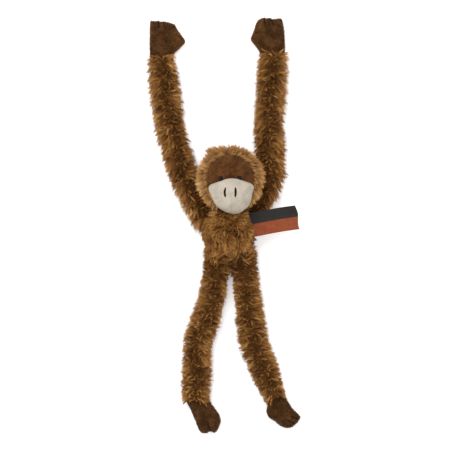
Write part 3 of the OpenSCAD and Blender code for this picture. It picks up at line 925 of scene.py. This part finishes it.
@functools.cache
def muzzle_dome():
    """Net of the muzzle from the middle of its front to behind its edge, and how much painted shade darkens
    it at its edge and along its middle seam.
    """
    low, high = node_box("muzzle_panel")
    middle = (low + high) / 2
    columns = MUZZLE_COLUMNS
    outline = closed_curve(MUZZLE_OUTLINE, columns) + middle[:2]
    centre = middle[:2] + [0.8, 0.5]
    drift = Drift(61, 24)
    share = np.concatenate([np.linspace(0.015, 0.86, MUZZLE_RINGS),
                            np.linspace(0.88, 1.0, MUZZLE_EDGE_RINGS)])
    flat = centre + share[:, None, None] * (outline - centre)[None]
    behind = np.minimum(head_surface_z(outline[:, 0], outline[:, 1], -0.8), high[2] - 6)
    chin = np.maximum(low[2] + 1.5, np.minimum(behind, 52))
    behind = np.where(outline[:, 1] > middle[1] - 2, behind, chin)
    edge_z = np.convolve(np.tile(behind, 3), np.ones(9) / 9, "same")[columns:2 * columns]
    swell = np.sqrt(np.clip(1 - share**2.3, 0, 1))[:, None]
    z = edge_z + (high[2] - edge_z) * swell
    p = np.concatenate([flat, z[..., None]], -1)
    groove = np.exp(-((flat[..., 0] - centre[0] - 0.6) / 0.8) ** 2)
    groove = groove * smooth_step(centre[1] - 2 - flat[..., 1], 0, 3)
    dent = 0.75 * groove * smooth_step(1 - share[:, None], 0, 0.1)
    p[..., 2] += 0.3 * drift(p) * (1 - share[:, None] ** 4) - dent
    under = [(0.985, 2.2), (0.95, 4.0), (0.88, 5.5), (0.75, 6.5)]
    tail = [np.concatenate([centre + k * (outline - centre), (edge_z - drop)[:, None]], -1)
            for k, drop in under]
    # Painted shade: the felt darkens towards its edge, where it curves under, and along its middle seam.
    rim = np.concatenate([smooth_step(share, 0.965, 1.0) * 0.75, [0.8, 0.6, 0.3, 0]])
    seam = 0.35 * groove * smooth_step(share, 0.2, 0.6)[:, None]
    rim = rim[:, None] + np.concatenate([seam, np.zeros((len(under), columns))])
    return np.concatenate([p, np.array(tail)]), rim


def muzzle_z(x, y):
    """Height of the muzzle's surface above a point."""
    points = muzzle_dome()[0][:MUZZLE_RINGS + MUZZLE_EDGE_RINGS].reshape(-1, 3)
    gaps = (points[:, 0] - x) ** 2 + (points[:, 1] - y) ** 2
    near = np.argsort(gaps)[:4]
    weight = 1 / (gaps[near] + 0.01)
    return float((points[near, 2] * weight).sum() / weight.sum())


class MONKEY_OT_muzzle(bpy.types.Operator):
    """Makes the plump cream muzzle with its sewn edge and middle seam"""
    bl_idname = "monkey.muzzle"
    bl_label = "Muzzle"

    def execute(self, context):
        p, rim = muzzle_dome()
        shape = Shape()
        shape.add_grid(p, grid_places(len(p), MUZZLE_COLUMNS, *WHOLE_MAP), value=rim)
        piece = shape.make("muzzle_felt", [muzzle_felt_material()])
        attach(piece, "head")
        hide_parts("muzzle_panel")
        return {"FINISHED"}


# Half a section through an eye bead and its shank: out from its middle line and up, in radii.
EYE_PROFILE = [(0.02, 1.0), (0.25, 0.97), (0.48, 0.88), (0.68, 0.74), (0.84, 0.54), (0.94, 0.32), (1.0, 0.06),
               (1.0, -0.1), (0.93, -0.24), (0.7, -0.34), (0.38, -0.4), (0.36, -1.6), (0.02, -1.62)]
EYE_SHIFT, EYE_SINK = -1.9, 1.3  # how far the beads lie towards the chin, and into the felt, in mm


class MONKEY_OT_eyes(bpy.types.Operator):
    """Makes the two glossy eye beads"""
    bl_idname = "monkey.eyes"
    bl_label = "Eyes"

    def execute(self, context):
        rows, columns = 40, 48
        fine, turn = open_curve(EYE_PROFILE, rows), ring_angles(columns)
        p = np.stack([fine[:, :1] * np.cos(turn), fine[:, :1] * np.sin(turn),
                      np.repeat(fine[:, 1:], columns, 1)], -1)
        for side in SIDES:
            low, high = node_box(f"{side}_eye")
            radius = (high[0] - low[0]) / 2
            x, y, _ = node_middle(f"{side}_eye")
            centre = np.array([x, y + EYE_SHIFT, high[2] - radius - EYE_SINK])
            shape = Shape()
            shape.add_grid(centre + p * radius, grid_places(rows, columns, *WHOLE_MAP))
            piece = shape.make(f"{side}_eye_bead", [eye_material()])
            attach(piece, "head")
            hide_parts(f"{side}_eye")
        return {"FINISHED"}


class MONKEY_OT_nostrils(bpy.types.Operator):
    """Makes the nostrils, two lines of black satin stitch across the front of the muzzle"""
    bl_idname = "monkey.nostrils"
    bl_label = "Nostrils"

    def execute(self, context):
        low, high = node_box("nostril_stitches")
        mid_y, half_height = (low[1] + high[1]) / 2, (high[1] - low[1]) / 2 * 1.08
        half_width, stitches = 1.5, 24
        rng = np.random.default_rng(71)
        shape = Shape()
        for x, bow in ((low[0] + 1.0, -1.6), (high[0] - 1.0, 0.5)):
            for step in np.linspace(-1, 1, stitches):
                y = mid_y + step * half_height
                mid_x = x + bow * (1 - step * step) * 0.6 + bow * -0.2
                half = half_width * math.sqrt(max(1 - abs(step) ** 3, 0.12)) * rng.uniform(0.9, 1.08)
                line = []
                for t in np.linspace(-1, 1, 7):
                    px, py = mid_x + t * half, y + 0.35 * t + rng.normal(0, 0.04)
                    line.append([px, py, muzzle_z(px, py) - 0.25 + 0.62 * (1 - t * t)])
                add_tube(shape, line, 0.3)
        piece = shape.make("nostril_thread", [thread_material()])
        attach(piece, "head")
        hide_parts("nostril_stitches")
        return {"FINISHED"}


class MONKEY_OT_ears(bpy.types.Operator):
    """Makes the two small cupped felt ears, half hidden in the fringe"""
    bl_idname = "monkey.ears"
    bl_label = "Ears"

    def execute(self, context):
        columns = 64
        for side in SIDES:
            low, high = node_box(f"{side}_ear")
            way = 1 if side == "left" else -1
            tip = high[0] if side == "left" else low[0]
            radius = (high[1] - low[1]) / 2 * 0.86
            centre = np.array([tip - way * (radius + 3.2), (low[1] + high[1]) / 2 - 1, low[2] - 0.5])
            share = np.concatenate([np.linspace(0.02, 0.8, 14), np.linspace(0.84, 1.0, 7)])
            s, t = np.meshgrid(share, ring_angles(columns), indexing="ij")
            x, y = s * radius * np.cos(t), s * radius * 1.02 * np.sin(t)
            cup = 3.4 * s**2 - 1.2 + 0.6 * np.sin(3 * t + 1) * s**3
            thick = 1.1 * np.sqrt(np.clip(1.02 - s**6, 0, 1))
            front, back = (np.stack([centre[0] + x, centre[1] + y, centre[2] + cup + off + 1.2], -1)
                           for off in (thick, -thick))
            shape = Shape()
            places = grid_places(2 * len(share), columns, *WHOLE_MAP)
            shape.add_grid(np.concatenate([front, back[::-1]]), places)
            piece = shape.make(f"{side}_ear_felt", [ear_felt_material()])
            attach(piece, "head")
            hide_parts(f"{side}_ear")
        return {"FINISHED"}


# ---------------------------------------------------------------- arms and legs

# For each kind of limb: its joints from the body outwards, the bodies that they join, the names of
# its plush pieces, and the gathered cloth at its start.
ARM = {
    "kind": "arm", "joints": ("shoulder_swing", "elbow_bend", "forearm_bend", "wrist_bend"),
    "bodies": ("shoulder", "upper_arm", "middle_arm", "lower_arm", "hand"),
    "pieces": ("shoulder", "elbow", "forearm", "cuff"), "gather": "shoulder_gather"}
LEG = {
    "kind": "leg", "joints": ("hip_swing", "knee_bend", "shin_bend", "ankle_bend"),
    "bodies": ("hip", "upper_leg", "middle_leg", "lower_leg", "foot"),
    "pieces": ("hip", "knee", "shin", "cuff"), "gather": "hip_gather"}

# The pile of each limb: how far it is combed along the limb, on the whole and at the cuff, its
# length as a share of the set one, whether painted shade darkens its first stretch near the
# body, how far it is trimmed there, and how much longer it gets over its last flare_run mm.
PILE_KEYS = ("comb", "cuff_comb", "long", "start_shade", "trim", "flare", "flare_run")
LIMB_PILE = {
    "right_arm": (-0.9, 0.5, 1.3, 0, 0, -0.2, 16),
    "left_arm": (-0.9, 0.4, 1.3, 0, 1.4, -0.1, 16),
    "right_leg": (0.3, 0.4, 1.08, 1, 1, -0.15, 20),
    "left_leg": (0.3, 0.3, 1.08, 1, 1, -0.5, 45)}

# How far before and past its joint each stretch's start and end points lie, in mm. At the body and at the
# mitt it is short.
BLEND_REACH, BODY_REACH, MITT_REACH = 17.0, 4.0, 6.0
CUFF_RUN = 8.5  # how far the plush runs on past the wrist or ankle, in mm


def limb_course(plan, side):
    low, high = node_box(f"{side}_{plan['gather']}")
    joints = [joint_at(f"{side}_{name}") for name in plan["joints"]]
    radius = (high[0] - low[0]) / 2
    pile = dict(zip(PILE_KEYS, LIMB_PILE[f"{side}_{plan['kind']}"]))
    return Limb(joints, radius, radius * 0.96, CUFF_RUN, pile)


def make_limb(plan, side, settings, seed):
    limb = limb_course(plan, side)
    stops, kind = limb.stops, plan["kind"]
    cuts = [limb.before, *((stops[:-1] + stops[1:]) / 2), limb.after]
    stretches = ("upper", "middle", "lower")
    for i in range(4):
        name = f"{side}_{kind}_{plan['pieces'][i]}_plush"
        piece = limb_piece(name, limb, cuts[i], cuts[i + 1], settings, seed + i)
        reach_back = BODY_REACH if i == 0 else BLEND_REACH
        reach_on = MITT_REACH if i == 3 else BLEND_REACH
        start, end = limb.at(stops[i] - reach_back) * MM, limb.at(stops[i] + reach_on) * MM
        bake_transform(piece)
        if i < 3:
            stretch = f"{side}_{kind}_{stretches[i]}"
            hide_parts(f"{stretch}_sleeve", f"{stretch}_filling")
        if i == 0:
            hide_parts(f"{side}_{plan['gather']}")


class MONKEY_OT_arms(bpy.types.Operator):
    """Makes the plush of both arms"""
    bl_idname = "monkey.arms"
    bl_label = "Arms"

    def execute(self, context):
        for number, side in enumerate(SIDES):
            make_limb(ARM, side, context.scene.monkey_sizes, 100 + 10 * number)
        return {"FINISHED"}


class MONKEY_OT_legs(bpy.types.Operator):
    """Makes the plush of both legs"""
    bl_idname = "monkey.legs"
    bl_label = "Legs"

    def execute(self, context):
        for number, side in enumerate(SIDES):
            make_limb(LEG, side, context.scene.monkey_sizes, 200 + 10 * number)
        return {"FINISHED"}


# ---------------------------------------------------------------- hands and feet

# Outlines of the hands and feet: across towards the thumb or the toy's centre, and along from
# the wrist or ankle. heading is the way that the hand or foot points, in degrees.
HANDS = {
    "right": {"heading": 90, "centre": (2, 29),
              "stitches": ((-3.2, 41.5, -4.4, 51.5), (4.5, 40.0, 1.5, 49.0)),
              "outline": [
            (-14.2, 49.0), (-11.8, 50.8), (-5.0, 50.6), (0.6, 49.9), (4.2, 50.0), (13.2, 47.4),
            (16.2, 45.6), (20.0, 38.5), (27.0, 29.0), (28.2, 26.4), (27.2, 23.6), (21.0, 17.0),
            (14.6, 10.5), (12.0, 2.0), (-12.0, 2.0), (-14.4, 10.0), (-14.6, 30.0)]},
    "left": {"heading": 92, "centre": (1, 28), "stitches": ((8.2, 43.5, 9.6, 50.5), (-1.5, 41.0, 1.6, 50.0)),
             "outline": [
            (17.6, 46.4), (13.8, 49.6), (9.0, 50.6), (6.6, 49.4), (3.4, 50.2), (-0.6, 48.6),
            (-10.4, 49.0), (-12.6, 47.2), (-14.2, 36.0), (-14.8, 20.0), (-14.2, 8.0), (-11.0, 1.0),
            (12.0, 1.0), (15.8, 9.0), (21.0, 17.0), (25.6, 23.0), (26.2, 25.8), (24.6, 30.0),
            (21.6, 37.0), (19.6, 43.0)]},
}
FEET = {
    "right": {"heading": 287, "centre": (2, 27), "stitches": ((2.6, 38.5, 3.4, 50.5),),
              "outline": [
            (-14.6, -4.0), (-14.4, 6.0), (-12.6, 14.0), (-10.8, 30.0), (-9.6, 44.0), (-7.4, 48.6),
            (-2.0, 50.4), (3.2, 49.6), (6.6, 52.6), (10.4, 51.8), (15.6, 46.4), (18.6, 41.5),
            (19.2, 34.0), (16.6, 25.5), (13.6, 17.0), (13.0, 6.0), (10.0, -3.0)]},
    "left": {"heading": 307, "centre": (6, 27), "stitches": ((0.4, 36.5, -5.0, 45.0), (6.4, 37.5, 2.0, 46.8)),
             "outline": [
            (12.6, 1.0), (14.6, 9.0), (20.4, 14.6), (22.2, 22.0), (19.0, 30.6), (17.2, 39.0),
            (12.4, 45.8), (6.0, 48.4), (-2.0, 47.6), (-7.8, 45.4), (-8.6, 41.0), (-7.0, 33.0),
            (-7.6, 20.0), (-10.0, 8.0), (-9.0, 0.0), (0.0, -3.0)]},
}


def mitt_frame(side, joint, heading):
    """Wrist or ankle, the way along the mitt and the way across it."""
    at = joint_at(f"{side}_{joint}")
    turn = math.radians(heading)
    along = np.array([math.cos(turn), math.sin(turn)])
    across = np.array([along[1], -along[0]]) * (1 if side == "right" else -1)
    if joint == "ankle_bend":
        across = -across
    return at, along, across


def mitt_pucker(flat, plan):
    """How deep the stitches pull the felt down at points of a mitt."""
    pull = np.zeros(flat.shape[:-1])
    for x0, y0, x1, y1 in plan["stitches"]:
        a, b = np.array([x0, y0]), np.array([x1, y1])
        t = np.clip(((flat - a) @ (b - a)) / ((b - a) @ (b - a)), 0, 1)
        gap = np.linalg.norm(flat - (a + t[..., None] * (b - a)), axis=-1)
        pull = pull + 2.1 * np.exp(-((gap / 1.5) ** 2))
    return pull


def mitt_heights(share, flat, plan, top, drift):
    """Height of the upper and lower felt of a mitt, at shares of the way out to its seam."""
    seam = 0.36 * top
    swell = np.clip(1 - share**2.6, 0, 1) ** 0.52
    waves = drift(np.concatenate([flat, flat[..., :1] * 0], -1))
    upper = seam + (top * 0.93 - seam) * swell + 0.35 * waves * swell
    upper = upper - mitt_pucker(flat, plan) * smooth_step(1 - share, 0.0, 0.1)
    lower = seam - (seam - FLOOR_CLEAR) * np.clip(1 - share**5, 0, 1) ** 0.6
    return upper, np.maximum(lower, FLOOR_CLEAR)


def make_mitt(side, kind, joint, plan, seed):
    """A stuffed hand or foot of two layers of felt, sewn together around their edge."""
    at, along, across = mitt_frame(side, joint, plan["heading"])
    nodes = [f"{side}_{kind}_{layer}" for layer in (("palm", "back") if kind == "hand" else ("sole", "top"))]
    top = node_box(nodes[1])[1][2]
    columns, rings, edge_rings = 132, 16, 10
    outline = closed_curve(plan["outline"], columns)
    centre = np.array(plan["centre"], float)
    share = np.concatenate([np.linspace(0.02, 0.8, rings), np.linspace(0.83, 1.0, edge_rings)])
    flat = centre + share[:, None, None] * (outline - centre)[None]
    drift = Drift(seed, 17)
    upper, lower = mitt_heights(np.repeat(share[:, None], columns, 1), flat, plan, top, drift)

    def place(flat, z):
        xy = at[:2] + flat[..., :1] * across + flat[..., 1:] * along
        return np.concatenate([xy, z[..., None]], -1)

    shape = Shape()
    both = np.concatenate([place(flat, upper), place(flat, lower)[::-1][1:]])
    # A painted highlight lightens the felt towards its sewn edge.
    edge = smooth_step(share, 0.9, 1.0)[:, None] * np.ones(columns)
    value = np.concatenate([edge, edge[::-1][1:]]) * 0.7
    shape.add_grid(both, grid_places(len(both), columns, *WHOLE_MAP), value=value)
    add_nap(shape, np.random.default_rng(seed + 50), both, 1500, 1.7)
    piece = shape.make(f"{side}_{kind}_felt", [felt_material(), felt_nap_material()])
    body = f"{side}_{kind}"
    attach(piece, body)
    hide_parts(*nodes, f"{side}_{kind}_filling")
    thread = Shape()
    steps = 12
    reach = outline - centre
    angles = np.arctan2(reach[:, 1], reach[:, 0])
    order = np.argsort(angles)
    radii = np.linalg.norm(reach, axis=1)[order]
    for x0, y0, x1, y1 in plan["stitches"]:
        t = np.linspace(0, 1, steps)[:, None]
        line = np.array([x0, y0]) * (1 - t) + np.array([x1, y1]) * t
        away = line - centre
        size = np.interp(np.arctan2(away[:, 1], away[:, 0]), angles[order], radii)
        portion = np.clip(np.linalg.norm(away, axis=1) / size, 0, 1)
        z, _ = mitt_heights(portion, line, plan, top, drift)
        for shift in (-0.32, 0.32):
            moved = line + np.array([shift, 0])
            twist = 0.12 * np.sin(np.arange(steps) * 2.1 + shift * 9)
            add_tube(thread, place(moved, z + 0.25 + twist), 0.42)
    words = "finger" if kind == "hand" else "toe"
    stitches = thread.make(f"{side}_{words}_thread", [thread_material()])
    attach(stitches, body)
    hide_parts(f"{side}_{words}_stitches")


class MONKEY_OT_hands(bpy.types.Operator):
    """Makes the felt hands with the stitches that mark their fingers"""
    bl_idname = "monkey.hands"
    bl_label = "Hands"

    def execute(self, context):
        for number, side in enumerate(SIDES):
            make_mitt(side, "hand", "wrist_bend", HANDS[side], 300 + number)
        return {"FINISHED"}


class MONKEY_OT_feet(bpy.types.Operator):
    """Makes the felt feet with the stitches that mark their toes"""
    bl_idname = "monkey.feet"
    bl_label = "Feet"

    def execute(self, context):
        for number, side in enumerate(SIDES):
            make_mitt(side, "foot", "ankle_bend", FEET[side], 310 + number)
        return {"FINISHED"}


# ---------------------------------------------------------------- label

# The label: its turn and rise from straight out of the seam, in degrees, and the length and height
# of its fold and half the gap between its leaves, in mm.
LABEL_TURN, LABEL_RISE, LABEL_LONG, LABEL_HEIGHT, LEAF_OFF = 10, 7, 56.0, 29.0, 0.28


class MONKEY_OT_label(bpy.types.Operator):
    """Makes the folded ribbon label in the left side seam"""
    bl_idname = "monkey.label"
    bl_label = "Label"

    def execute(self, context):
        at, long = joint_at("label_flap"), LABEL_LONG
        turn, rise = math.radians(LABEL_TURN), math.radians(LABEL_RISE)
        along = np.array([math.cos(turn) * math.cos(rise), math.sin(turn) * math.cos(rise), math.sin(rise)])
        across = np.array([-math.sin(turn), math.cos(turn), 0])
        lift = np.cross(along, across)
        columns, rows = 60, 24
        s = np.linspace(0, 1, columns) * long
        leaf_s = np.concatenate([s, [long + 0.25], s[::-1]])
        leaf_z = np.concatenate([np.zeros(columns) + LEAF_OFF, [0.0], np.zeros(columns) - LEAF_OFF])
        u = np.clip(leaf_s / long, 0, 1)
        sway = 0.8 * np.sin(3.1 * u + 0.4) * u
        p = np.zeros((len(leaf_s), rows, 3))
        for j, w in enumerate(np.linspace(-1, 1, rows)):
            wave = (1.5 * np.sin(u * 4.4 + 0.6) * u * u + 0.9 * np.sin(w * 2.6 + 5 * u) * u
                    + 0.35 * np.sin(w * 7 + 2) * u**3)
            crease = (0.55 * np.exp(-((u - 0.34 - 0.06 * w) / 0.03) ** 2)
                      - 0.5 * np.exp(-((u - 0.72 + 0.1 * w) / 0.035) ** 2))
            z = leaf_z * (1 + 0.8 * u * (1 - u)) + wave + crease
            edge = 1.0 * np.sin(w * 3.4 + 0.5) * smooth_step(u, 0.85, 1.0)
            p[:, j] = (at + np.outer(leaf_s + edge, along) + np.outer(w * LABEL_HEIGHT / 2 + sway, across)
                       + np.outer(z - 0.4, lift))
        shape = Shape()
        places = np.stack(np.meshgrid(np.linspace(0.02, 0.98, rows), u * 0.96 + 0.02), -1)[..., ::-1]
        shape.add_grid(p, places, around=False)
        piece = shape.make("side_label_ribbon", [label_material()])
        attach(piece, "label")
        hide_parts("side_label")
        return {"FINISHED"}


# ---------------------------------------------------------------- stage

# Each lamp's name, place and width in metres, and its power in watts.
LAMPS = (("key_light", (-0.55, 0.75, 1.5), 1.1, 15), ("fill_light", (0.9, -0.5, 1.4), 1.6, 5))
WORLD_LIGHT = 0.85
FLOOR_SIZE = 8
CAMERA_X, CAMERA_Y = -0.0048, 0.0104  # the middle of the view, in metres
LENS = 200                            # in mm; long, so that the view is nearly square on


class MONKEY_OT_stage(bpy.types.Operator):
    """Makes the pale floor, the soft lights and the camera straight above"""
    bl_idname = "monkey.stage"
    bl_label = "Stage"

    def execute(self, context):
        scene = context.scene
        bpy.ops.mesh.primitive_plane_add(size=FLOOR_SIZE, location=(0, 0, 0))
        floor = context.object
        floor.name = "floor"
        floor.data.materials.append(floor_material())
        for name, place, size, power in LAMPS:
            light = bpy.data.lights.new(name, "AREA")
            light.shape = "DISK"
            light.size = size
            light.energy = power
            lamp = bpy.data.objects.new(name, light)
            lamp.location = place
            x, y, z = place
            lamp.rotation_euler = (math.atan2(math.hypot(x, y), z), 0, math.atan2(-y, -x) - math.pi / 2)
            scene.collection.objects.link(lamp)
        world = bpy.data.worlds.new("studio")
        world.use_nodes = True
        background = world.node_tree.nodes["Background"]
        background.inputs["Color"].default_value = (1, 1, 1, 1)
        background.inputs["Strength"].default_value = WORLD_LIGHT
        scene.world = world
        camera = bpy.data.cameras.new("camera")
        camera.sensor_width = 36
        camera.lens = LENS
        camera.clip_end = 20
        holder = bpy.data.objects.new("camera", camera)
        holder.location = (CAMERA_X, CAMERA_Y, scene.monkey_sizes.camera_height)
        scene.collection.objects.link(holder)
        scene.camera = holder
        scene.view_settings.view_transform = "Standard"
        return {"FINISHED"}


# ---------------------------------------------------------------- the add-on

OPERATORS = (
    MONKEY_OT_stage, MONKEY_OT_torso, MONKEY_OT_neck, MONKEY_OT_head, MONKEY_OT_brow, MONKEY_OT_muzzle,
    MONKEY_OT_eyes, MONKEY_OT_nostrils, MONKEY_OT_ears, MONKEY_OT_arms, MONKEY_OT_legs,
    MONKEY_OT_hands, MONKEY_OT_feet, MONKEY_OT_label)


class MONKEY_PT_panel(bpy.types.Panel):
    """Lists the monkey's sizes, colours and pieces"""
    bl_label = "Stuffed Monkey"
    bl_idname = "MONKEY_PT_panel"
    bl_space_type = "VIEW_3D"
    bl_region_type = "UI"
    bl_category = "Monkey"

    def draw(self, context):
        for group in (context.scene.monkey_sizes, context.scene.monkey_colours):
            for key in group.__annotations__:
                self.layout.prop(group, key)
        for operator in OPERATORS:
            self.layout.operator(operator.bl_idname)


CLASSES = (MonkeySizes, MonkeyColours, *OPERATORS, MONKEY_PT_panel)


def register():
    for item in CLASSES:
        bpy.utils.register_class(item)
    bpy.types.Scene.monkey_sizes = bpy.props.PointerProperty(type=MonkeySizes)
    bpy.types.Scene.monkey_colours = bpy.props.PointerProperty(type=MonkeyColours)


def unregister():
    del bpy.types.Scene.monkey_colours
    del bpy.types.Scene.monkey_sizes
    for item in reversed(CLASSES):
        bpy.utils.unregister_class(item)


def main():
    register()
    for operator in OPERATORS:
        group, name = operator.bl_idname.split(".")
        getattr(getattr(bpy.ops, group), name)()


if __name__ == "__main__":
    main()
